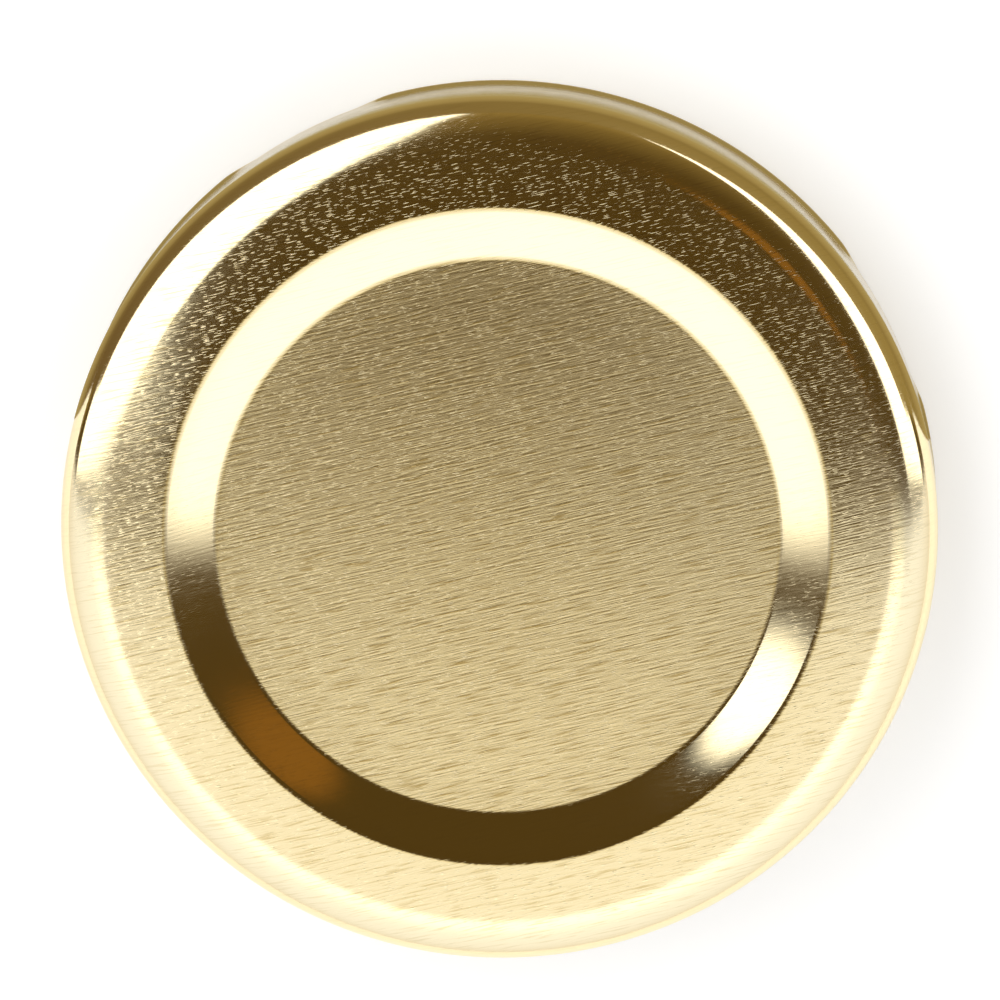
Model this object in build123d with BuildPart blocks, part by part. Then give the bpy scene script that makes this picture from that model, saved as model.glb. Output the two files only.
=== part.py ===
"""Twist-off jar lid: a lid stamped from one disc of lacquered tinplate, with a sealing ring.

The lid lies on its rolled rim with the panel up. The origin is on the rest plane, at the
middle of the rim, and +Z is the lid's own axis. Every size is in millimetres.
"""

import os
from math import acos, cos, degrees, radians, sin

from build123d import *

# ---------------------------------------------------------------- driving dimensions
# Lid shell
sheet = 0.18                   # thickness of the tinplate
height = 10.20                 # rest plane to the crest of the step
skirt_radius = 28.05           # outer face of the straight skirt

shoulder_soft_radius = 5.50    # first bend of the shoulder, next to the outer panel
shoulder_soft_slope = 25.0     # degrees down from level where the first bend ends
shoulder_tight_radius = 2.00   # second bend, which runs down into the skirt

outer_panel_width = 3.44       # from the crest of the step to the shoulder
outer_panel_slope = 2.0        # degrees that the outer panel falls away, outwards
step_depth = 0.60              # from the crest down to the sunk centre panel
step_slope = 10.75             # degrees, the cone between the centre panel and the crest
step_bend_radius = 2.00        # both bends of the step, on the outer face

# Rolled rim
curl_diameter = 1.50           # the roll, over the sheet
curl_bulge = 0.25              # how far the roll stands outside the skirt
curl_opening = 50.0            # degrees of the roll that are left open, towards the skirt
hollow_radius = 1.00           # hollow between the skirt and the roll

# Lugs, pressed inwards out of the rolled rim
lug_count = 4
lug_first_angle = 27.0         # degrees from +X to the middle of the first lug
lug_length = 9.50              # along the rim
lug_reach = 3.30               # from the outer face of the skirt to the tip
lug_lift = 0.15                # underside of the lugs above the rest plane
lug_thickness = 0.90           # the flattened roll
lug_corner_radius = 1.60       # round corners at the tip, seen from above
lug_nose_radius = 0.40         # rounded upper and lower edges of the tip
lug_heel_radius = 0.50         # outer fold, where the skirt turns in to the lug
lug_root_radius = 0.45         # inner corner between the skirt and the lug

# Sealing ring
seal_margin = 0.50             # from the crest of the step to the compound's inner edge
seal_thickness = 0.85          # at the crest, below the inner face of the sheet
seal_edge_radius = 0.40        # rounded inner edge

# ---------------------------------------------------------------- worked out from those
panel_tilt = radians(outer_panel_slope)
soft_tilt = radians(shoulder_soft_slope)
step_tilt = radians(step_slope)

soft_run = shoulder_soft_radius * (sin(soft_tilt) - sin(panel_tilt))
tight_run = shoulder_tight_radius * (1 - sin(soft_tilt))
crest_radius = skirt_radius - soft_run - tight_run - outer_panel_width
outer_length = (outer_panel_width - step_bend_radius * sin(panel_tilt)) / cos(panel_tilt)

bends_rise = 2 * step_bend_radius * (1 - cos(step_tilt))
cone_length = (step_depth - bends_rise) / sin(step_tilt)
step_run = 2 * step_bend_radius * sin(step_tilt) + cone_length * cos(step_tilt)
centre_radius = crest_radius - step_run
centre_height = height - step_depth

curl_radius = curl_diameter / 2
hollow_turn = acos(1 - curl_bulge / (hollow_radius + curl_radius))
skirt_end = curl_radius + (hollow_radius + curl_radius) * sin(hollow_turn)

lug_tip_radius = skirt_radius - lug_reach
lug_turn = degrees(lug_length / skirt_radius)
curl_turn = 360 / lug_count - lug_turn
lug_top = lug_lift + lug_thickness
lug_root_end = skirt_radius - sheet - 2 * lug_root_radius

seal_inner_radius = crest_radius + seal_margin


def radial_plane(angle):
    """Upright plane through the lid's axis: local x runs outwards at that angle, local y up."""
    outwards = Vector(cos(radians(angle)), sin(radians(angle)), 0)
    return Plane(origin=(0, 0, 0), x_dir=outwards, z_dir=outwards.cross(Vector(0, 0, 1)))


def panel_line(depth):
    """One face of the sheet, from the axis out over the panel and down to the skirt's end.

    depth is 0 for the outer face, and the sheet's thickness for the inner one. Both faces
    share their bend centres, so each radius grows or shrinks by depth.
    """
    centre = Line((0, centre_height - depth), (centre_radius, centre_height - depth))
    rise = JernArc(centre @ 1, centre % 1, step_bend_radius + depth, step_slope)
    cone = PolarLine(rise @ 1, cone_length, direction=rise % 1)
    crest_turn = step_slope + outer_panel_slope
    crest = JernArc(cone @ 1, cone % 1, step_bend_radius - depth, -crest_turn)
    outer = PolarLine(crest @ 1, outer_length, direction=crest % 1)
    soft_turn = shoulder_soft_slope - outer_panel_slope
    soft = JernArc(outer @ 1, outer % 1, shoulder_soft_radius - depth, -soft_turn)
    tight_turn = 90 - shoulder_soft_slope
    tight = JernArc(soft @ 1, soft % 1, shoulder_tight_radius - depth, -tight_turn)
    skirt = Line(tight @ 1, (skirt_radius - depth, skirt_end))
    return centre @ 0, skirt @ 1


def curl_line(depth):
    """One face of the sheet from the end of the skirt, round the hollow and the roll."""
    start = (skirt_radius - depth, skirt_end)
    hollow = JernArc(start, (0, -1), hollow_radius + depth, degrees(hollow_turn))
    roll = JernArc(hollow @ 1, hollow % 1, curl_radius - depth, curl_opening - 360)
    return hollow @ 0, roll @ 1


# ---------------------------------------------------------------- lid shell
with BuildPart() as panel:
    with BuildSketch(radial_plane(0)):
        with BuildLine():
            outer_start, outer_end = panel_line(0)
            inner_start, inner_end = panel_line(sheet)
            Line(outer_start, inner_start)
            Line(outer_end, inner_end)
        make_face()
    revolve(axis=Axis.Z)

with BuildPart() as curl:
    with BuildSketch(radial_plane(-curl_turn / 2)):
        with BuildLine():
            outer_start, outer_end = curl_line(0)
            inner_start, inner_end = curl_line(sheet)
            Line(outer_start, inner_start)
            Line(outer_end, inner_end)
        make_face()
    revolve(axis=Axis.Z, revolution_arc=curl_turn)

with BuildPart() as tongue:
    with BuildSketch(Plane.XY.offset(lug_lift)):
        with BuildLine():
            tip = CenterArc((0, 0), lug_tip_radius, -lug_turn / 2, lug_turn)
            heel = CenterArc((0, 0), skirt_radius - lug_heel_radius, -lug_turn / 2, lug_turn)
            Line(tip @ 0, heel @ 0)
            Line(tip @ 1, heel @ 1)
        make_face()
    extrude(amount=lug_thickness)
    tip_corners = tongue.edges().filter_by(Axis.Z).group_by(SortBy.DISTANCE)[0]
    fillet(tip_corners, lug_corner_radius)
    flat_faces = tongue.faces().filter_by(Axis.Z)
    fillet(flat_faces.edges().group_by(SortBy.DISTANCE)[:-1], lug_nose_radius)

with BuildPart() as lug:
    with BuildSketch(radial_plane(-lug_turn / 2)):
        with BuildLine():
            heel_side = FilletPolyline(
                (lug_root_end, lug_lift),
                (skirt_radius, lug_lift),
                (skirt_radius, skirt_end),
                radius=lug_heel_radius,
            )
            root_side = FilletPolyline(
                (lug_root_end, lug_top),
                (skirt_radius - sheet, lug_top),
                (skirt_radius - sheet, skirt_end),
                radius=lug_root_radius,
            )
            Line(heel_side @ 0, root_side @ 0)
            Line(heel_side @ 1, root_side @ 1)
        make_face()
    revolve(axis=Axis.Z, revolution_arc=lug_turn)
    add(tongue.part)

with BuildPart() as lid_shell:
    add(panel.part)
    with PolarLocations(0, lug_count, start_angle=lug_first_angle):
        add(lug.part)
    with PolarLocations(0, lug_count, start_angle=lug_first_angle + 180 / lug_count):
        add(curl.part)

# ---------------------------------------------------------------- sealing ring
with BuildPart() as sealing_ring:
    with BuildSketch(radial_plane(0)) as section:
        with BuildLine():
            inner_start, inner_end = panel_line(sheet)
            Polyline(inner_start, (0, skirt_end), inner_end)
        make_face()
        with Locations((seal_inner_radius, height - sheet)):
            Rectangle(
                skirt_radius - seal_inner_radius,
                seal_thickness,
                align=(Align.MIN, Align.MAX),
                mode=Mode.INTERSECT,
            )
        fillet(section.vertices().group_by(Axis.X)[0].sort_by(Axis.Z)[0], seal_edge_radius)
    revolve(axis=Axis.Z)

# ---------------------------------------------------------------- export
lid_shell.part.label = "lid_shell"
sealing_ring.part.label = "sealing_ring"

os.makedirs("parts", exist_ok=True)
export_step(lid_shell.part, "parts/lid_shell.step")
export_step(sealing_ring.part, "parts/sealing_ring.step")
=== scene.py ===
"""Looks of a twist-off jar lid: a pressed shell of gold-lacquered tinplate and its sealing ring.

The lid rests on its rolled rim on the floor, panel up. Lengths are in metres.
"""

from math import acos, cos, pi, radians, sin, sqrt

import bpy
import numpy as np
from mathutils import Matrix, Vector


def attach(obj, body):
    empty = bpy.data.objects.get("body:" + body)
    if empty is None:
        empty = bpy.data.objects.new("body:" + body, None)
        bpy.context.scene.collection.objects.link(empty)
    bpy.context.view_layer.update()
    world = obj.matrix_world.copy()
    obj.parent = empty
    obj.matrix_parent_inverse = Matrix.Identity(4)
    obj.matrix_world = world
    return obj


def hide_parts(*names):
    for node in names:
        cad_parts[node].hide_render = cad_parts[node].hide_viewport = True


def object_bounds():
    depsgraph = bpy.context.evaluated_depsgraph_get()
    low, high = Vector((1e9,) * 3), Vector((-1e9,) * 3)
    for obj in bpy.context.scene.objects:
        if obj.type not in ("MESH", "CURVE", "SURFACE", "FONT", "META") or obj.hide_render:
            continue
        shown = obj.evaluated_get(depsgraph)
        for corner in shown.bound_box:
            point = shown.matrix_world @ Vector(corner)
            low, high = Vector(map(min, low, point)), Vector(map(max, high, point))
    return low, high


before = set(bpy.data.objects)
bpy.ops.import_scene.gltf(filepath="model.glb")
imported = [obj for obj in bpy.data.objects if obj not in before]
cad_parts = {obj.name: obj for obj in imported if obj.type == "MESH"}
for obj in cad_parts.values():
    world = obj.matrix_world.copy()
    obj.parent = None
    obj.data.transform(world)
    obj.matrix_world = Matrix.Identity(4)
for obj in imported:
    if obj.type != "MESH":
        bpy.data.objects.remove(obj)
cad_low, cad_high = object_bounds()

bl_info = {
    "name": "Twist-off jar lid",
    "version": (1, 0, 0),
    "blender": (4, 5, 0),
    "location": "3D View > Sidebar > Jar lid",
    "description": "Builds a pressed tinplate jar lid, its sealing ring and a small studio",
    "category": "Add Mesh",
}

MM = 0.001
BODY = "root"

# Grid of the two turned pieces
TURNS = 480                    # divisions round the lid's axis
SHEET_EDGE_STEPS = 4           # round the cut edge of the sheet
SEAL_STEPS = 48                # across each face of the sealing ring


# ---------------------------------------------------------------- values a user may change
class LidSizes(bpy.types.PropertyGroup):
    """Sizes of the pressed shell and of the sealing ring under it."""

    height: bpy.props.FloatProperty(
        name="Height", description="Rest plane to the crest of the step",
        default=cad_high[2] - cad_low[2], unit="LENGTH")
    sheet: bpy.props.FloatProperty(
        name="Sheet", description="Thickness of the tinplate", default=0.18 * MM, unit="LENGTH")
    skirt_radius: bpy.props.FloatProperty(
        name="Skirt radius", description="Outer face of the straight skirt",
        default=28.05 * MM, unit="LENGTH")
    soft_radius: bpy.props.FloatProperty(
        name="Soft shoulder radius", description="First bend, next to the outer panel",
        default=5.5 * MM, unit="LENGTH")
    soft_slope: bpy.props.FloatProperty(
        name="Soft shoulder slope", description="Slope where the first bend ends",
        default=radians(25.0), subtype="ANGLE")
    tight_radius: bpy.props.FloatProperty(
        name="Tight shoulder radius", description="Second bend, down into the skirt",
        default=2.0 * MM, unit="LENGTH")
    panel_width: bpy.props.FloatProperty(
        name="Outer panel width", description="Crest of the step to the shoulder",
        default=3.44 * MM, unit="LENGTH")
    panel_slope: bpy.props.FloatProperty(
        name="Outer panel slope", description="How far the outer panel falls away, outwards",
        default=radians(2.0), subtype="ANGLE")
    step_depth: bpy.props.FloatProperty(
        name="Step depth", description="Crest down to the sunk centre panel",
        default=0.6 * MM, unit="LENGTH")
    step_slope: bpy.props.FloatProperty(
        name="Step slope", description="Cone between the centre panel and the crest",
        default=radians(10.75), subtype="ANGLE")
    step_radius: bpy.props.FloatProperty(
        name="Step bend radius", description="Both bends of the step, on the outer face",
        default=2.0 * MM, unit="LENGTH")
    curl_radius: bpy.props.FloatProperty(
        name="Curl radius", description="The rolled rim, over the sheet",
        default=0.75 * MM, unit="LENGTH")
    curl_bulge: bpy.props.FloatProperty(
        name="Curl bulge", description="How far the roll stands outside the skirt",
        default=0.25 * MM, unit="LENGTH")
    curl_turn: bpy.props.FloatProperty(
        name="Curl turn", description="How far the edge is rolled round",
        default=radians(310.0), subtype="ANGLE")
    hollow_radius: bpy.props.FloatProperty(
        name="Hollow radius", description="Hollow between the skirt and the roll",
        default=1.0 * MM, unit="LENGTH")
    lug_count: bpy.props.IntProperty(
        name="Lugs", description="Lugs pressed inwards out of the rim", default=4, min=1)
    lug_first_angle: bpy.props.FloatProperty(
        name="First lug", description="Angle from +X to the middle of the first lug",
        default=radians(27.0), subtype="ANGLE")
    lug_length: bpy.props.FloatProperty(
        name="Lug length", description="Along the rim", default=9.5 * MM, unit="LENGTH")
    lug_reach: bpy.props.FloatProperty(
        name="Lug reach", description="Outer face of the skirt to the tip of a lug",
        default=3.3 * MM, unit="LENGTH")
    lug_lift: bpy.props.FloatProperty(
        name="Lug lift", description="Underside of the lugs above the rest plane",
        default=0.15 * MM, unit="LENGTH")
    lug_thickness: bpy.props.FloatProperty(
        name="Lug thickness", description="The flattened roll", default=0.9 * MM, unit="LENGTH")
    lug_heel_radius: bpy.props.FloatProperty(
        name="Lug heel radius", description="Fold where the skirt turns in to the lug",
        default=0.5 * MM, unit="LENGTH")
    lug_flank: bpy.props.FloatProperty(
        name="Lug flank", description="Rim length in which the roll flattens into a lug",
        default=2.8 * MM, unit="LENGTH")
    seal_margin: bpy.props.FloatProperty(
        name="Seal margin", description="Crest of the step to the compound's inner edge",
        default=0.5 * MM, unit="LENGTH")
    seal_thickness: bpy.props.FloatProperty(
        name="Seal thickness", description="Compound below the sheet, at the crest",
        default=0.85 * MM, unit="LENGTH")
    seal_edge_radius: bpy.props.FloatProperty(
        name="Seal edge radius", description="Rounded inner edge of the compound",
        default=0.4 * MM, unit="LENGTH")
    seal_dish: bpy.props.FloatProperty(
        name="Seal dish", description="How far the compound sinks between its edges",
        default=0.12 * MM, unit="LENGTH")


def hex_linear(code):
    """sRGB hex colour to linear: below 0.04045 a 12.92th, above it ((c + 0.055) / 1.055) ^ 2.4."""
    levels = [int(code[i:i + 2], 16) / 255 for i in (1, 3, 5)]
    return [v / 12.92 if v <= 0.04045 else ((v + 0.055) / 1.055) ** 2.4 for v in levels]


def opaque(colour, strength=1.0):
    """Colour with strength, as the four numbers that a colour socket takes."""
    return (*[strength * level for level in colour], 1.0)


class LidColours(bpy.types.PropertyGroup):
    """Colours and grain of the finishes."""

    lacquer: bpy.props.FloatVectorProperty(
        name="Gold lacquer", description="Tinplate seen through the outer gold lacquer",
        default=hex_linear("#F6E5B8"), subtype="COLOR", min=0, max=1)
    lacquer_groove: bpy.props.FloatVectorProperty(
        name="Lacquer in the grooves", description="Where the lacquer lies deeper",
        default=hex_linear("#CDB478"), subtype="COLOR", min=0, max=1)
    skirt: bpy.props.FloatVectorProperty(
        name="Drawn skirt", description="Duller lacquered tinplate of the skirt and the roll",
        default=hex_linear("#D6C8A4"), subtype="COLOR", min=0, max=1)
    inside: bpy.props.FloatVectorProperty(
        name="Inner lacquer", description="Food-side lacquer", default=hex_linear("#E9CF92"),
        subtype="COLOR", min=0, max=1)
    compound: bpy.props.FloatVectorProperty(
        name="Sealing compound", description="Cured compound", default=hex_linear("#EDEAE0"),
        subtype="COLOR", min=0, max=1)
    floor: bpy.props.FloatVectorProperty(
        name="Floor", description="Painted board under the lid", default=hex_linear("#F1F1F0"),
        subtype="COLOR", min=0, max=1)
    grain_angle: bpy.props.FloatProperty(
        name="Grain angle", description="Brushed grain, turned from +X towards +Y",
        default=radians(14.0), subtype="ANGLE")


# ---------------------------------------------------------------- profiles
def walk(start, heading, stretches):
    """Points and headings along a path of straight and round stretches.

    Each stretch is (length, turn, steps), of constant curvature. At a share t of it the point
    lies on a chord of length t * length * sin(half) / half, laid at the mean heading, with
    half = t * turn / 2. Lengths and turns may be arrays, one value for each section of a
    piece. The result has one row of points for each section.
    """
    place = np.asarray(start, float)
    heading = np.asarray(heading, float)
    points = [np.broadcast_to(place, place.shape)[..., None, :]]
    headings = [heading[..., None]]
    for length, turn, steps in stretches:
        share = np.arange(1, steps + 1) / steps
        half = share * np.asarray(turn)[..., None] / 2
        chord = share * np.asarray(length)[..., None] * np.sinc(half / pi)
        mean = heading[..., None] + half
        step = np.stack([chord * np.cos(mean), chord * np.sin(mean)], -1)
        points.append(place[..., None, :] + step)
        headings.append(heading[..., None] + 2 * half)
        place = points[-1][..., -1, :]
        heading = headings[-1][..., -1]
    return points, headings


def panel_profile(sizes):
    """Middle of the sheet from the axis, over the panel and the shoulder, to the skirt's end."""
    mid = sizes.sheet / 2
    soft_run = sizes.soft_radius * (sin(sizes.soft_slope) - sin(sizes.panel_slope))
    tight_run = sizes.tight_radius * (1 - sin(sizes.soft_slope))
    crest_radius = sizes.skirt_radius - soft_run - tight_run - sizes.panel_width
    bends_rise = 2 * sizes.step_radius * (1 - cos(sizes.step_slope))
    cone_length = (sizes.step_depth - bends_rise) / sin(sizes.step_slope)
    bends_run = 2 * sizes.step_radius * sin(sizes.step_slope)
    centre_radius = crest_radius - bends_run - cone_length * cos(sizes.step_slope)
    panel_length = sizes.panel_width - sizes.step_radius * sin(sizes.panel_slope)
    panel_length /= cos(sizes.panel_slope)
    crest_turn = sizes.step_slope + sizes.panel_slope
    soft_turn = sizes.soft_slope - sizes.panel_slope
    tight_turn = pi / 2 - sizes.soft_slope
    stretches = [
        (centre_radius, 0.0, 6),
        ((sizes.step_radius + mid) * sizes.step_slope, sizes.step_slope, 6),
        (cone_length, 0.0, 3),
        ((sizes.step_radius - mid) * crest_turn, -crest_turn, 6),
        (panel_length, 0.0, 4),
        ((sizes.soft_radius - mid) * soft_turn, -soft_turn, 12),
        ((sizes.tight_radius - mid) * tight_turn, -tight_turn, 16),
    ]
    start = (0.0, sizes.height - sizes.step_depth - mid)
    points, headings = walk(start, 0.0, stretches)
    skirt_length = points[-1][-1, 1] - skirt_end(sizes)
    last_points, last_headings = walk(points[-1][-1], -pi / 2, [(skirt_length, 0.0, 4)])
    points = np.concatenate(points + last_points[1:])
    return points, np.concatenate(headings + last_headings[1:]), crest_radius


def hollow_turn(sizes):
    """Turn of the hollow above the roll, which brings the roll out by its bulge."""
    return acos(1 - sizes.curl_bulge / (sizes.hollow_radius + sizes.curl_radius))


def skirt_end(sizes):
    """Height where the straight skirt ends and the hollow above the roll begins."""
    return sizes.curl_radius + (sizes.hollow_radius + sizes.curl_radius) * sin(hollow_turn(sizes))


def lug_share(sizes, angles):
    """0 where the rim is rolled, 1 where it is pressed flat into a lug, with a smooth flank.

    The distance along the rim to the nearest lug's middle, less half a lug, is divided by the
    flank and smoothed with 3 t^2 - 2 t^3.
    """
    spacing = 2 * pi / sizes.lug_count
    offset = (angles - sizes.lug_first_angle + spacing / 2) % spacing - spacing / 2
    beyond = np.abs(offset) * sizes.skirt_radius - sizes.lug_length / 2
    share = np.clip(0.5 - beyond / sizes.lug_flank, 0, 1)
    return share * share * (3 - 2 * share)


def rim_profile(sizes, angles):
    """Middle of the sheet from the skirt's end, round the roll or the lug, for each angle.

    Roll and lug have the same five stretches: down, round the heel, inwards, round the nose
    and back out. Each length and each turn is carried from the roll's to the lug's by the
    share of lug at that angle, so the sections between them are smooth and never cross.
    """
    mid = sizes.sheet / 2
    down = hollow_turn(sizes)
    roll = sizes.curl_radius - mid
    heel = sizes.lug_heel_radius - mid
    nose = sizes.lug_thickness / 2 - mid
    quarter = pi / 2
    under = radians(30)
    tail = radians(24)
    bottom_length = sizes.lug_reach - sizes.lug_heel_radius - sizes.lug_thickness / 2
    top_length = sizes.lug_reach - sizes.lug_thickness / 2 - sizes.sheet - 0.06 * MM
    heel_turn = down + quarter - under / 2
    nose_turn = sizes.curl_turn - heel_turn - under - tail
    roll_stretches = [
        ((sizes.hollow_radius + mid) * down, down),
        (roll * heel_turn, -heel_turn),
        (roll * under, -under),
        (roll * nose_turn, -nose_turn),
        (roll * tail, -tail),
    ]
    lug_stretches = [
        (skirt_end(sizes) - sizes.lug_heel_radius - sizes.lug_lift, 0.0),
        (heel * quarter, -quarter),
        (bottom_length, 0.0),
        (nose * pi, -pi),
        (top_length, 0.0),
    ]
    share = lug_share(sizes, angles)
    stretches = []
    for from_roll, to_lug, steps in zip(roll_stretches, lug_stretches, (4, 9, 5, 12, 6)):
        length = from_roll[0] + share * (to_lug[0] - from_roll[0])
        turn = from_roll[1] + share * (to_lug[1] - from_roll[1])
        stretches.append((length, turn, steps))
    start = np.zeros((len(angles), 2))
    start[:] = (sizes.skirt_radius - mid, skirt_end(sizes))
    points, headings = walk(start, np.full(len(angles), -quarter), stretches)
    return np.concatenate(points[1:], 1), np.concatenate(headings[1:], 1)


# ---------------------------------------------------------------- meshes
def turned_mesh(name, rings, top=None, bottom=None, blank=None):
    """Closed mesh carried round the axis.

    rings holds (section, point, (radius, height)), where section is the place round the axis.
    A point stands at radius * (cos angle, sin angle). Neighbouring points and sections make
    quads. With top and bottom, two heights on the axis, the section is open and both ends are
    closed with a fan of triangles to the axis; without them it is a closed loop. blank holds
    a flat place for each point, which is stored as the UV map "blank".
    """
    turns, count, _ = rings.shape
    angles = 2 * pi * np.arange(turns) / turns
    shape = (turns, count)
    x = rings[..., 0] * np.cos(angles)[:, None]
    y = rings[..., 0] * np.sin(angles)[:, None]
    vertices = np.stack([x, y, np.broadcast_to(rings[..., 1], shape)], -1).reshape(-1, 3)
    index = np.arange(turns * count).reshape(turns, count)
    turned = np.roll(index, -1, axis=0)
    if top is None:
        ahead = np.roll(index, -1, axis=1)
        ahead_turned = np.roll(turned, -1, axis=1)
        quads = np.stack([index, ahead, ahead_turned, turned], -1).reshape(-1, 4)
        fans = np.zeros((0, 3), int)
    else:
        here, there = index[:, :-1], index[:, 1:]
        here_turned, there_turned = turned[:, :-1], turned[:, 1:]
        quads = np.stack([here, there, there_turned, here_turned], -1).reshape(-1, 4)
        vertices = np.concatenate([vertices, [(0, 0, top), (0, 0, bottom)]])
        upper = np.full(turns, turns * count)
        lower = upper + 1
        fan_top = np.stack([upper, index[:, 0], turned[:, 0]], -1)
        fan_bottom = np.stack([lower, turned[:, -1], index[:, -1]], -1)
        fans = np.concatenate([fan_top, fan_bottom])
    mesh = bpy.data.meshes.new(name)
    corners = np.concatenate([quads.ravel(), fans.ravel()])
    starts = np.concatenate([np.arange(len(quads)) * 4, quads.size + np.arange(len(fans)) * 3])
    mesh.vertices.add(len(vertices))
    mesh.vertices.foreach_set("co", vertices.ravel())
    mesh.loops.add(len(corners))
    mesh.loops.foreach_set("vertex_index", corners)
    mesh.polygons.add(len(starts))
    mesh.polygons.foreach_set("loop_start", starts)
    mesh.polygons.foreach_set("use_smooth", np.ones(len(starts), bool))
    if blank is not None:
        flat = np.concatenate([blank.reshape(-1, 2), np.zeros((2, 2))])
        layer = mesh.uv_layers.new(name="blank")
        layer.data.foreach_set("uv", flat[corners].ravel())
    mesh.update(calc_edges=True)
    mesh.validate()
    return mesh


def offset_path(points, headings, distance):
    """Points moved square to the path, to its left for a positive distance."""
    left = np.stack([-np.sin(headings), np.cos(headings)], -1)
    return points + distance * left


def shell_mesh(sizes, grain_angle):
    """The pressed shell: the sheet's middle line, thickened to both sides, carried round.

    The section runs over the outer face from the axis to the cut edge of the sheet, half a
    circle round that edge, and back along the inner face. The UV map "blank" is the place
    that each point had on the flat sheet before pressing: its distance along the section,
    laid out at its angle, with U across the brushed grain and V along it.
    """
    angles = 2 * pi * np.arange(TURNS) / TURNS
    panel_points, panel_headings, _ = panel_profile(sizes)
    rim_points, rim_headings = rim_profile(sizes, angles)
    panel_points = np.broadcast_to(panel_points[1:], (TURNS, len(panel_points) - 1, 2))
    panel_headings = np.broadcast_to(panel_headings[1:], panel_points.shape[:2])
    points = np.concatenate([panel_points, rim_points], 1)
    headings = np.concatenate([panel_headings, rim_headings], 1)
    half = sizes.sheet / 2
    outer = offset_path(points, headings, half)
    inner = offset_path(points, headings, -half)
    round_edge = np.arange(1, SHEET_EDGE_STEPS) * pi / SHEET_EDGE_STEPS
    tip, tip_heading = points[:, -1:], headings[:, -1:]
    edge_heading = tip_heading + pi / 2 - round_edge
    edge = tip + half * np.stack([np.cos(edge_heading), np.sin(edge_heading)], -1)
    rings = np.concatenate([outer, edge, inner[:, ::-1]], 1)
    along = np.cumsum(np.linalg.norm(np.diff(points, axis=1), axis=2), 1)
    along = np.concatenate([np.zeros((TURNS, 1)), along], 1) + points[:, :1, 0]
    edge_along = np.repeat(along[:, -1:], SHEET_EDGE_STEPS - 1, 1)
    reach = np.concatenate([along, edge_along, along[:, ::-1]], 1)
    turn = (angles - grain_angle)[:, None]
    blank = np.stack([reach * np.sin(turn), reach * np.cos(turn)], -1)
    top = sizes.height - sizes.step_depth
    mesh = turned_mesh("lid_shell_pressed", rings, top, top - sizes.sheet, blank)
    count = rings.shape[1]
    faces_per_turn = count - 1
    outer_faces = outer.shape[1] + SHEET_EDGE_STEPS - 1
    inside = np.tile(np.arange(faces_per_turn) >= outer_faces, TURNS)
    inside = np.concatenate([inside, np.zeros(TURNS, bool), np.ones(TURNS, bool)])
    mesh.polygons.foreach_set("material_index", inside.astype(np.int32))
    return mesh


def seal_mesh(sizes):
    """The sealing ring: compound laid into the channel under the outer panel.

    Its upper face is the sheet's inner face. Its lower face hangs a seal thickness below the
    crest, dished by dish * sin^2 across its width, with a quarter circle at the inner edge,
    and it runs out where it meets the shoulder.
    """
    points, headings, crest_radius = panel_profile(sizes)
    inner = offset_path(points, headings, -sizes.sheet / 2)
    low = sizes.height - sizes.sheet - sizes.seal_thickness
    first = crest_radius + sizes.seal_margin
    falling = inner[inner[:, 0] > crest_radius]
    last = np.interp(-low, -falling[:, 1], falling[:, 0])
    spread = (1 - np.cos(np.linspace(0, pi, SEAL_STEPS))) / 2
    radius = first + (last - first) * spread
    upper = np.interp(radius, inner[:, 0], inner[:, 1])
    lip = np.clip(1 - (radius - first) / sizes.seal_edge_radius, 0, 1)
    rounding = sizes.seal_edge_radius * (1 - np.sqrt(1 - lip * lip))
    lower = low + sizes.seal_dish * np.sin(pi * spread) ** 2 + rounding
    lower = np.minimum(lower, upper)
    top_face = np.stack([radius, upper], -1)
    under_face = np.stack([radius, lower], -1)[::-1]
    section = np.concatenate([top_face, under_face[1:]])
    rings = np.broadcast_to(section, (TURNS, len(section), 2))
    return turned_mesh("sealing_ring_cured", rings)


# ---------------------------------------------------------------- materials
def add_node(tree, kind, inputs=None, stops=None, **settings):
    """Adds a node, sets its properties, sets or links its inputs, and fills its colour stops."""
    node = tree.nodes.new(kind)
    for name, value in settings.items():
        setattr(node, name, value)
    for socket, value in (inputs or {}).items():
        if isinstance(value, bpy.types.NodeSocket):
            tree.links.new(value, node.inputs[socket])
        else:
            node.inputs[socket].default_value = value
    if stops:
        elements = node.color_ramp.elements
        while len(elements) < len(stops):
            elements.new(1.0)
        for element, (position, colour) in zip(elements, stops):
            element.position = position
            element.color = colour
    return node


def new_material(name):
    """An empty node material and its output node."""
    material = bpy.data.materials.new(name)
    material.use_nodes = True
    material.node_tree.nodes.clear()
    return material, material.node_tree, material.node_tree.nodes.new("ShaderNodeOutputMaterial")


def grey(level):
    """The same level in all three colours."""
    return (level, level, level, 1.0)


# Brushed grain of the tinplate. The finest scratches are about 0.03 mm wide; they are drawn
# two to three times as coarse, so that they show at arm's length.
STREAK_WIDTH = 0.14 * MM
STREAK_LENGTH = 2.6 * MM
STREAK_HEIGHT = 0.0050 * MM
DASH_WIDTH = 0.055 * MM
DASH_LENGTH = 0.60 * MM
DASH_HEIGHT = 0.0042 * MM
BLANK_REACH = 40 * MM          # span of the ramps that follow the distance from the axis


def grain_nodes(tree, uv, width, length, detail):
    """Streak noise on the flat blank: one cell of the pattern is width by length."""
    cell = add_node(tree, "ShaderNodeMapping", {"Vector": uv, "Scale": (width, length, 1.0)},
                    vector_type="TEXTURE")
    return add_node(tree, "ShaderNodeTexNoise", {"Vector": cell.outputs[0], "Scale": 1.0,
                    "Detail": detail, "Roughness": 0.55}, noise_dimensions="2D").outputs[0]


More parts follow.
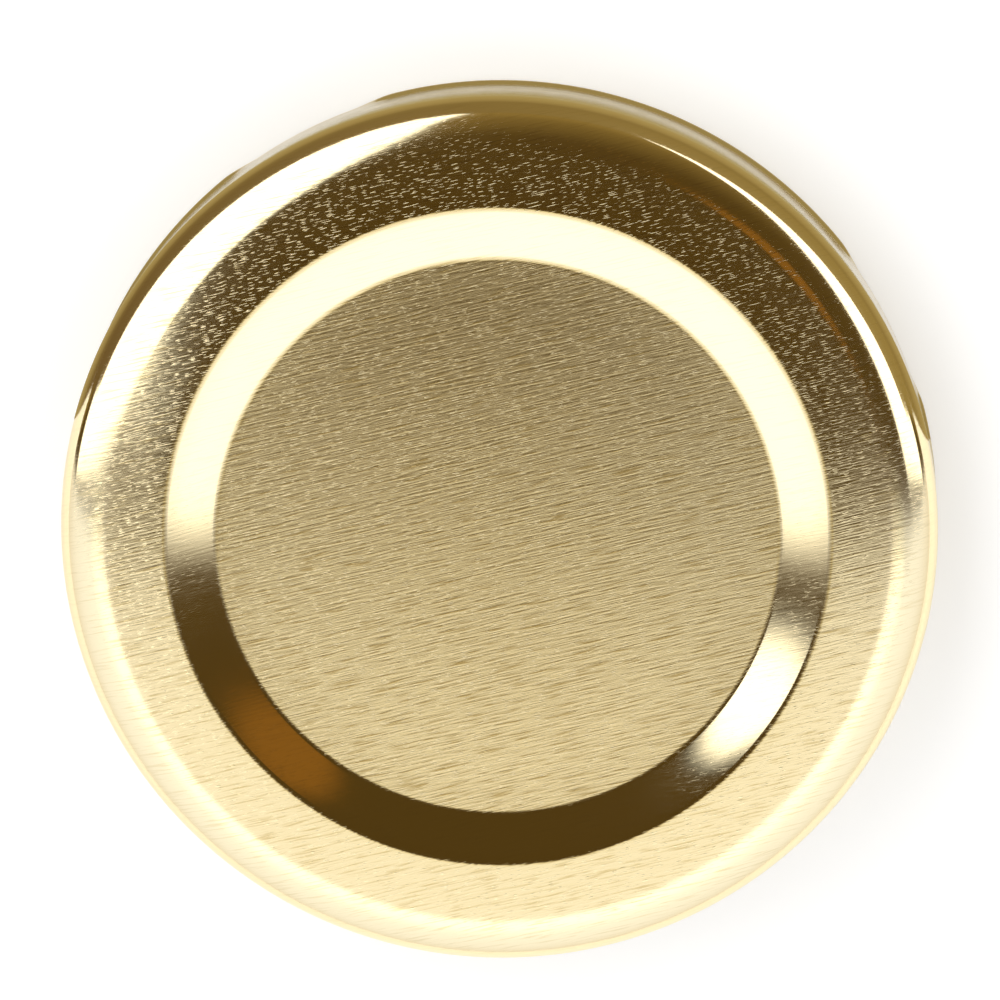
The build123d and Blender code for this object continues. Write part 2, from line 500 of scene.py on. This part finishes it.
def brushed_gold_tinplate(colours):
    """Tinplate brushed in one direction, under transparent gold lacquer.

    The grain stretches every reflection square to itself, so the flat panels look satin with
    fine dashes, while the bends, which the press has drawn smooth, mirror the studio.
    """
    material, tree, output = new_material("brushed_gold_lacquered_tinplate")
    uv = add_node(tree, "ShaderNodeUVMap", uv_map="blank").outputs[0]
    reach = add_node(tree, "ShaderNodeVectorMath", {0: uv}, operation="LENGTH").outputs["Value"]
    share = add_node(tree, "ShaderNodeMath", {0: reach, 1: BLANK_REACH}, operation="DIVIDE")
    share = share.outputs[0]
    streaks = grain_nodes(tree, uv, STREAK_WIDTH, STREAK_LENGTH, 2.0)
    specks = grain_nodes(tree, uv, DASH_WIDTH, DASH_LENGTH, 0.5)
    mm = MM / BLANK_REACH
    drawn = add_node(tree, "ShaderNodeValToRGB", {0: share}, stops=[
        (17.8 * mm, grey(1.0)), (18.2 * mm, grey(0.12)), (21.1 * mm, grey(0.12)),
        (21.5 * mm, grey(0.8)), (24.8 * mm, grey(0.7)), (26.6 * mm, grey(0.3)),
        (28.0 * mm, grey(0.10))])
    polish = add_node(tree, "ShaderNodeValToRGB", {0: share}, stops=[
        (17.7 * mm, grey(0.14)), (18.1 * mm, grey(0.065)), (21.1 * mm, grey(0.065)),
        (21.5 * mm, grey(0.07)), (24.6 * mm, grey(0.09)), (26.0 * mm, grey(0.11)),
        (28.0 * mm, grey(0.08)), (31.0 * mm, grey(0.11)), (36.0 * mm, grey(0.17))])
    speckled = add_node(tree, "ShaderNodeMapRange", {"Value": reach, "From Min": 17.8 * MM,
                        "From Max": 21.5 * MM, "To Min": 0.5, "To Max": 1.0})
    cut = add_node(tree, "ShaderNodeMapRange", {"Value": specks, "From Min": 0.69,
                   "From Max": 0.82, "To Max": DASH_HEIGHT / STREAK_HEIGHT})
    dashes = add_node(tree, "ShaderNodeMath", {0: cut.outputs[0], 1: speckled.outputs[0]},
                      operation="MULTIPLY")
    sum_height = add_node(tree, "ShaderNodeMath", {0: streaks, 1: dashes.outputs[0]},
                          operation="ADD")
    height = add_node(tree, "ShaderNodeMath", {0: sum_height.outputs[0], 1: drawn.outputs[0]},
                      operation="MULTIPLY")
    bump = add_node(tree, "ShaderNodeBump", {"Height": height.outputs[0], "Strength": 1.0,
                    "Distance": STREAK_HEIGHT})
    spread = add_node(tree, "ShaderNodeMapRange", {"Value": streaks, "From Min": 0.3,
                      "From Max": 0.7, "To Min": 0.85, "To Max": 1.2})
    rough = add_node(tree, "ShaderNodeMath", {0: polish.outputs[0], 1: spread.outputs[0]},
                     operation="MULTIPLY")
    deep = add_node(tree, "ShaderNodeMapRange", {"Value": streaks, "From Min": 0.54,
                    "From Max": 0.74})
    grooved = add_node(tree, "ShaderNodeMath", {0: deep.outputs[0], 1: drawn.outputs[0]},
                       operation="MULTIPLY")
    tone = add_node(tree, "ShaderNodeMix", {"Factor": grooved.outputs[0],
                    "A": opaque(colours.lacquer), "B": opaque(colours.lacquer_groove)},
                    data_type="RGBA")
    dull = add_node(tree, "ShaderNodeMapRange", {"Value": reach, "From Min": 28.5 * MM,
                    "From Max": 31.0 * MM})
    tone = add_node(tree, "ShaderNodeMix", {"Factor": dull.outputs[0],
                    "A": tone.outputs["Result"], "B": opaque(colours.skirt)},
                    data_type="RGBA")
    tangent = add_node(tree, "ShaderNodeTangent", direction_type="UV_MAP", uv_map="blank")
    shader = add_node(tree, "ShaderNodeBsdfPrincipled", {
        "Base Color": tone.outputs["Result"], "Metallic": 1.0, "Roughness": rough.outputs[0],
        "Anisotropic": 0.7, "Normal": bump.outputs[0], "Tangent": tangent.outputs[0]})
    tree.links.new(shader.outputs[0], output.inputs["Surface"])
    return material


def inner_lacquer(colours):
    """Tinplate under the food-side lacquer: the same grain, softened by a thicker, plain coat."""
    material, tree, output = new_material("epoxy_lacquered_tinplate_inside")
    uv = add_node(tree, "ShaderNodeUVMap", uv_map="blank").outputs[0]
    streaks = grain_nodes(tree, uv, STREAK_WIDTH, STREAK_LENGTH, 2.0)
    bump = add_node(tree, "ShaderNodeBump", {"Height": streaks, "Strength": 0.5,
                    "Distance": STREAK_HEIGHT})
    rough = add_node(tree, "ShaderNodeMapRange", {"Value": streaks, "From Min": 0.3,
                     "From Max": 0.7, "To Min": 0.24, "To Max": 0.34})
    shader = add_node(tree, "ShaderNodeBsdfPrincipled", {
        "Base Color": opaque(colours.inside), "Metallic": 1.0, "Roughness": rough.outputs[0],
        "Normal": bump.outputs[0]})
    tree.links.new(shader.outputs[0], output.inputs["Surface"])
    return material


def sealing_compound(colours):
    """Cured sealing compound, laid down wet while the lid spins: satin, with faint rings."""
    material, tree, output = new_material("cured_sealing_compound")
    place = add_node(tree, "ShaderNodeTexCoord").outputs["Object"]
    rings = add_node(tree, "ShaderNodeTexWave", {"Vector": place, "Scale": 0.35 / MM,
                     "Distortion": 1.5, "Detail": 2.0}, wave_type="RINGS", rings_direction="Z")
    grains = add_node(tree, "ShaderNodeTexNoise", {"Vector": place, "Scale": 4.0 / MM,
                      "Detail": 3.0})
    mixed = add_node(tree, "ShaderNodeMath", {0: rings.outputs[0], 1: 0.6, 2: grains.outputs[0]},
                     operation="MULTIPLY_ADD")
    bump = add_node(tree, "ShaderNodeBump", {"Height": mixed.outputs[0], "Strength": 0.6,
                    "Distance": 0.02 * MM})
    rough = add_node(tree, "ShaderNodeMapRange", {"Value": grains.outputs[0], "From Min": 0.3,
                     "From Max": 0.7, "To Min": 0.38, "To Max": 0.52})
    shader = add_node(tree, "ShaderNodeBsdfPrincipled", {
        "Base Color": opaque(colours.compound), "Roughness": rough.outputs[0], "IOR": 1.52,
        "Normal": bump.outputs[0]})
    tree.links.new(shader.outputs[0], output.inputs["Surface"])
    return material


def seen_directly(tree):
    """1 for camera, glossy and transmission rays, 0 for the light that falls on things."""
    path = add_node(tree, "ShaderNodeLightPath")
    both = add_node(tree, "ShaderNodeMath", {0: path.outputs["Is Camera Ray"],
                    1: path.outputs["Is Glossy Ray"]}, operation="MAXIMUM")
    return add_node(tree, "ShaderNodeMath", {0: both.outputs[0],
                    1: path.outputs["Is Transmission Ray"]}, operation="MAXIMUM").outputs[0]


def painted_board(colours):
    """Matt white paint on a flat board. A little of what is seen is added, so that it reads
    white to the eye and the lid's shadow stays on it."""
    material, tree, output = new_material("matt_painted_board")
    place = add_node(tree, "ShaderNodeTexCoord").outputs["Object"]
    grains = add_node(tree, "ShaderNodeTexNoise", {"Vector": place, "Scale": 0.8 / MM,
                      "Detail": 2.0})
    rough = add_node(tree, "ShaderNodeMapRange", {"Value": grains.outputs[0], "To Min": 0.85,
                     "To Max": 1.0})
    paint = add_node(tree, "ShaderNodeBsdfDiffuse", {"Color": opaque(colours.floor),
                     "Roughness": rough.outputs[0]})
    glow = add_node(tree, "ShaderNodeMath", {0: seen_directly(tree), 1: FLOOR_LIFT},
                    operation="MULTIPLY")
    lift = add_node(tree, "ShaderNodeEmission", {"Color": grey(1.0),
                    "Strength": glow.outputs[0]})
    both = add_node(tree, "ShaderNodeAddShader", {0: paint.outputs[0], 1: lift.outputs[0]})
    tree.links.new(both.outputs[0], output.inputs["Surface"])
    return material


# ---------------------------------------------------------------- studio
FLOOR_LIFT = 0.25
FLOOR_HALF = 2.4
TENT_RADIUS = 2.6
TENT_GRID = (64, 24)           # divisions round the tent and up it
SOFTBOX_HEIGHT = 0.45
SOFTBOX_LEVEL = 2.2
SOFTBOX_FADE = 0.3             # share of a softbox in which its far sides fade out
LEFT_SOFTBOX = ((-0.207, -0.135), (-3.2, -0.17), (-3.2, 3.8), (-0.19, 3.8))
RIGHT_SOFTBOX = ((0.80, -0.12), (3.8, -0.17), (3.8, 3.8), (0.45, 3.8))
SOFTBOX_NEAR_FADE = 0.012
CEILING = (0.078, 0.047, 0.010)
REAR_WALL = (0.27, 0.19, 0.060)
FRONT_AXIS = (-0.035, -0.191, 0.981)   # middle of the dimmer patch of the front cloth
WARM_AXIS = (0.212, 0.058, 0.976)      # a small warm patch on the ceiling
WARM_PATCH = (0.25, 0.115, 0.018)
# The flag's colours are painted light: the card glows, lighter towards +X, and lighter next to the
# lid as painted bounce light from the pale board.
FLAG_RADIUS = 90 * MM
FLAG_SECTION = ((28.6 * MM, 0.3 * MM), (90 * MM, 0.3 * MM), (90 * MM, 45 * MM))
FLAG_ARC = (10.0, 168.0)
FLAG_STEPS = 44
FLAG_PAINTED_GLOW_ENDS = ((0.34, 0.26, 0.10), (0.17, 0.115, 0.05))
FLAG_NEAR_PAINTED_BOUNCE = (0.46, 0.37, 0.17)         # next to the lid, where the pale board lights the card
FLAG_NEAR_REACH = (29 * MM, 50 * MM)


def angle_from(tree, axis):
    """Angle between a point's direction from the origin and an axis, in radians."""
    place = add_node(tree, "ShaderNodeTexCoord").outputs["Object"]
    unit = add_node(tree, "ShaderNodeVectorMath", {0: place}, operation="NORMALIZE").outputs[0]
    dot = add_node(tree, "ShaderNodeVectorMath", {0: unit, 1: axis}, operation="DOT_PRODUCT")
    return add_node(tree, "ShaderNodeMath", {0: dot.outputs["Value"]},
                    operation="ARCCOSINE").outputs[0]


def colour_steps(tree, value, low, high, ends):
    """Colour that follows a value from low to high, with one (value, colour) for each stop."""
    share = add_node(tree, "ShaderNodeMapRange", {"Value": value, "From Min": radians(low),
                     "From Max": radians(high)})
    stops = [((angle - low) / (high - low), opaque(colour)) for angle, colour in ends]
    return add_node(tree, "ShaderNodeValToRGB", {0: share.outputs[0]}, stops=stops).outputs[0]


def tent_material():
    """Studio tent, lit from outside: pale in front, with a dark wooden ceiling and rear wall.

    The ceiling follows the angle from straight up towards the back, measured square to X. The
    front follows the angle from its dimmer middle. Below 11 degrees in front of straight up
    the front takes over, within a few degrees.
    """
    material, tree, output = new_material("lit_studio_tent")
    place = add_node(tree, "ShaderNodeTexCoord").outputs["Object"]
    axes = add_node(tree, "ShaderNodeSeparateXYZ", {0: place})
    lean = add_node(tree, "ShaderNodeMath", {0: axes.outputs["Y"], 1: axes.outputs["Z"]},
                    operation="ARCTAN2").outputs[0]
    ceiling = colour_steps(tree, lean, -10, 100, [
        (-10, CEILING), (20, (0.09, 0.056, 0.014)), (55, REAR_WALL), (95, (0.2, 0.14, 0.05))])
    front = colour_steps(tree, angle_from(tree, FRONT_AXIS), 0, 90, [
        (0, (0.98, 0.84, 0.52)), (3, (1.02, 0.96, 0.78)), (8, (1.06, 1.04, 0.98)),
        (13, (1.15, 1.15, 1.2)), (17, (1.75, 1.75, 1.75)), (25, (1.7, 1.75, 1.75)),
        (34, (1.2, 1.25, 1.4)), (52, (1.08, 1.12, 1.26)), (85, (0.95, 0.93, 0.95))])
    warm = add_node(tree, "ShaderNodeMapRange", {"Value": angle_from(tree, WARM_AXIS),
                    "From Min": radians(5.5), "From Max": radians(3.5)},
                    interpolation_type="SMOOTHSTEP")
    patched = add_node(tree, "ShaderNodeMix", {"Factor": warm.outputs[0], "A": ceiling,
                       "B": opaque(WARM_PATCH)}, data_type="RGBA").outputs["Result"]
    share = add_node(tree, "ShaderNodeMapRange", {"Value": lean, "From Min": radians(-9.4),
                     "From Max": radians(-13.8)}, interpolation_type="SMOOTHSTEP")
    level = add_node(tree, "ShaderNodeMix", {"Factor": share.outputs[0], "A": patched,
                     "B": front}, data_type="RGBA").outputs["Result"]
    glow = add_node(tree, "ShaderNodeEmission", {"Color": level, "Strength": 1.0})
    tree.links.new(glow.outputs[0], output.inputs["Surface"])
    return material


def tent_mesh():
    """Half a globe over the floor: radius * (sin tilt cos turn, sin tilt sin turn, cos tilt)."""
    turns, rows = TENT_GRID
    tilt = np.linspace(pi / 2 / rows, 0.56 * pi, rows)
    section = TENT_RADIUS * np.stack([np.sin(tilt), np.cos(tilt)], -1)
    rings = np.broadcast_to(section, (turns, rows, 2))
    mesh = turned_mesh("studio_tent", rings, TENT_RADIUS, section[-1, 1])
    mesh.flip_normals()
    return mesh


def flag_material():
    """Dull brown card glowing with painted light, lighter towards +X and next to the lid; only the
    lid's rim mirrors it.
    """
    material, tree, output = new_material("brown_flag_painted_glow")
    place = add_node(tree, "ShaderNodeTexCoord").outputs["Object"]
    axes = add_node(tree, "ShaderNodeSeparateXYZ", {0: place})
    share = add_node(tree, "ShaderNodeMapRange", {"Value": axes.outputs["X"],
                     "From Min": FLAG_RADIUS, "From Max": -FLAG_RADIUS})
    tone = add_node(tree, "ShaderNodeMix", {"Factor": share.outputs[0],
                    "A": opaque(FLAG_PAINTED_GLOW_ENDS[0]), "B": opaque(FLAG_PAINTED_GLOW_ENDS[1])}, data_type="RGBA")
    reach = add_node(tree, "ShaderNodeVectorMath", {0: place}, operation="LENGTH")
    start, end = FLAG_NEAR_REACH
    far = add_node(tree, "ShaderNodeMapRange", {"Value": reach.outputs["Value"],
                   "From Min": start, "From Max": end})
    tone = add_node(tree, "ShaderNodeMix", {"Factor": far.outputs[0],
                    "A": opaque(FLAG_NEAR_PAINTED_BOUNCE), "B": tone.outputs["Result"]}, data_type="RGBA")
    glow = add_node(tree, "ShaderNodeEmission", {"Color": tone.outputs["Result"],
                    "Strength": 1.0})
    tree.links.new(glow.outputs[0], output.inputs["Surface"])
    return material


def flag_mesh():
    """Brown card behind the lid: flat close to the board, then upright, in an arc round it.

    Each point of the bent section stands at radius * (cos turn, sin turn).
    """
    turn = np.radians(np.linspace(*FLAG_ARC, FLAG_STEPS))
    radius, height = np.array(FLAG_SECTION).T
    shape = (len(turn), len(radius))
    x = np.cos(turn)[:, None] * radius
    y = np.sin(turn)[:, None] * radius
    vertices = np.stack([x, y, np.broadcast_to(height, shape)], -1).reshape(-1, 3)
    index = np.arange(shape[0] * shape[1]).reshape(shape)
    faces = np.stack([index[:-1, :-1], index[1:, :-1], index[1:, 1:], index[:-1, 1:]], -1)
    mesh = bpy.data.meshes.new("rear_flag")
    mesh.from_pydata(vertices, [], faces.reshape(-1, 4))
    return mesh


def softbox_material():
    """Lit diffuser cloth: an even middle, a short fade at its near sides, a long one far off."""
    material, tree, output = new_material("lit_diffuser_cloth")
    uv = add_node(tree, "ShaderNodeUVMap", uv_map="cloth").outputs[0]
    axes = add_node(tree, "ShaderNodeSeparateXYZ", {0: uv})
    strength = SOFTBOX_LEVEL
    for axis in ("X", "Y"):
        for start, end in ((0.0, SOFTBOX_NEAR_FADE), (1.0, 1.0 - SOFTBOX_FADE)):
            fade = add_node(tree, "ShaderNodeMapRange", {"Value": axes.outputs[axis],
                            "From Min": start, "From Max": end},
                            interpolation_type="SMOOTHSTEP")
            strength = add_node(tree, "ShaderNodeMath", {0: fade.outputs[0], 1: strength},
                                operation="MULTIPLY").outputs[0]
    glow = add_node(tree, "ShaderNodeEmission", {"Color": grey(1.0), "Strength": strength})
    tree.links.new(glow.outputs[0], output.inputs["Surface"])
    return material


def softbox_mesh(name, corners):
    """A flat four-sided cloth between corners (x, y as shares of its height above the floor)."""
    flat = SOFTBOX_HEIGHT * np.array(corners)
    vertices = np.column_stack([flat, np.full(4, SOFTBOX_HEIGHT)])
    mesh = bpy.data.meshes.new(name)
    mesh.from_pydata(vertices, [], [(0, 1, 2, 3)])
    layer = mesh.uv_layers.new(name="cloth")
    layer.data.foreach_set("uv", np.array([(0, 0), (1, 0), (1, 1), (0, 1)], float).ravel())
    return mesh


def show(mesh, *materials):
    """Puts a mesh into the scene, at the origin, with its materials."""
    for material in materials:
        mesh.materials.append(material)
    piece = bpy.data.objects.new(mesh.name, mesh)
    bpy.context.scene.collection.objects.link(piece)
    return piece


# ---------------------------------------------------------------- operators
class JARLID_OT_shell(bpy.types.Operator):
    """Build the pressed tinplate shell with its rolled rim and lugs"""

    bl_idname = "jarlid.shell"
    bl_label = "Lid shell"

    def execute(self, context):
        scene = context.scene
        mesh = shell_mesh(scene.jarlid_sizes, scene.jarlid_colours.grain_angle)
        shell = show(mesh, brushed_gold_tinplate(scene.jarlid_colours),
                     inner_lacquer(scene.jarlid_colours))
        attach(shell, BODY)
        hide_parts("lid_shell")
        return {"FINISHED"}


class JARLID_OT_seal(bpy.types.Operator):
    """Build the ring of sealing compound under the outer panel"""

    bl_idname = "jarlid.seal"
    bl_label = "Sealing ring"

    def execute(self, context):
        scene = context.scene
        seal = show(seal_mesh(scene.jarlid_sizes), sealing_compound(scene.jarlid_colours))
        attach(seal, BODY)
        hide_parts("sealing_ring")
        return {"FINISHED"}


class JARLID_OT_stage(bpy.types.Operator):
    """Set up the floor, the studio tent, two softboxes, the white surround and the camera"""

    bl_idname = "jarlid.stage"
    bl_label = "Stage"

    def execute(self, context):
        scene = context.scene
        floor_mesh = bpy.data.meshes.new("floor")
        side = FLOOR_HALF
        floor_mesh.from_pydata([(-side, -side, 0), (side, -side, 0), (side, side, 0),
                                (-side, side, 0)], [], [(0, 1, 2, 3)])
        show(floor_mesh, painted_board(scene.jarlid_colours))
        cloth = softbox_material()
        tent = show(tent_mesh(), tent_material())
        left = show(softbox_mesh("softbox_left", LEFT_SOFTBOX), cloth)
        right = show(softbox_mesh("softbox_right", RIGHT_SOFTBOX), cloth)
        # The flag glows with painted light; it is hidden from the camera, from diffuse light and
        # from shadows.
        flag = show(flag_mesh(), flag_material())
        flag.visible_diffuse = False
        flag.visible_shadow = False
        for card in (tent, left, right, flag):
            card.visible_camera = False
        white_world(scene)
        place_camera(scene)
        scene.view_settings.view_transform = "Standard"
        return {"FINISHED"}


def white_world(scene):
    """Plain white surround."""
    scene.world = scene.world or bpy.data.worlds.new("surround")
    scene.world.use_nodes = True
    tree = scene.world.node_tree
    tree.nodes.clear()
    level = add_node(tree, "ShaderNodeMath", {0: seen_directly(tree), 1: 1.0},
                     operation="MULTIPLY")
    surround = add_node(tree, "ShaderNodeBackground", {"Color": grey(1.0),
                        "Strength": level.outputs[0]})
    add_node(tree, "ShaderNodeOutputWorld", {"Surface": surround.outputs[0]})


CAMERA_DISTANCE = 316.69 * MM
CAMERA_PITCH = radians(-10.807)
CAMERA_YAW = radians(2.057)
CAMERA_AIM = (0.197 * MM, 2.625 * MM)
CAMERA_LENS = 180.0


def place_camera(scene):
    """Looks down on the crest of the lid, leaning a little back, with a long lens."""
    camera = bpy.data.objects.new("camera", bpy.data.cameras.new("camera"))
    camera.data.lens = CAMERA_LENS
    camera.data.sensor_width = 36.0
    camera.data.clip_start = 0.01
    camera.rotation_euler = (CAMERA_PITCH, CAMERA_YAW, 0.0)
    back = (sin(CAMERA_YAW) * cos(CAMERA_PITCH), -sin(CAMERA_PITCH),
            cos(CAMERA_YAW) * cos(CAMERA_PITCH))
    aim = (*CAMERA_AIM, cad_high[2])
    camera.location = [place + CAMERA_DISTANCE * lean for place, lean in zip(aim, back)]
    scene.collection.objects.link(camera)
    scene.camera = camera


class JARLID_PT_panel(bpy.types.Panel):
    """Sidebar panel with the lid's sizes, colours and pieces"""

    bl_idname = "JARLID_PT_panel"
    bl_label = "Jar lid"
    bl_space_type = "VIEW_3D"
    bl_region_type = "UI"
    bl_category = "Jar lid"

    def draw(self, context):
        for group in (context.scene.jarlid_sizes, context.scene.jarlid_colours):
            column = self.layout.column()
            for name in group.__annotations__:
                column.prop(group, name)
        for operator in OPERATORS:
            self.layout.operator(operator.bl_idname)


OPERATORS = (JARLID_OT_shell, JARLID_OT_seal, JARLID_OT_stage)
CLASSES = (LidSizes, LidColours, *OPERATORS, JARLID_PT_panel)


def register():
    for cls in CLASSES:
        bpy.utils.register_class(cls)
    bpy.types.Scene.jarlid_sizes = bpy.props.PointerProperty(type=LidSizes)
    bpy.types.Scene.jarlid_colours = bpy.props.PointerProperty(type=LidColours)


def unregister():
    del bpy.types.Scene.jarlid_colours
    del bpy.types.Scene.jarlid_sizes
    for cls in reversed(CLASSES):
        bpy.utils.unregister_class(cls)


def main():
    """Registers the classes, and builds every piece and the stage."""
    register()
    bpy.ops.jarlid.shell()
    bpy.ops.jarlid.seal()
    bpy.ops.jarlid.stage()


if __name__ == "__main__":
    main()
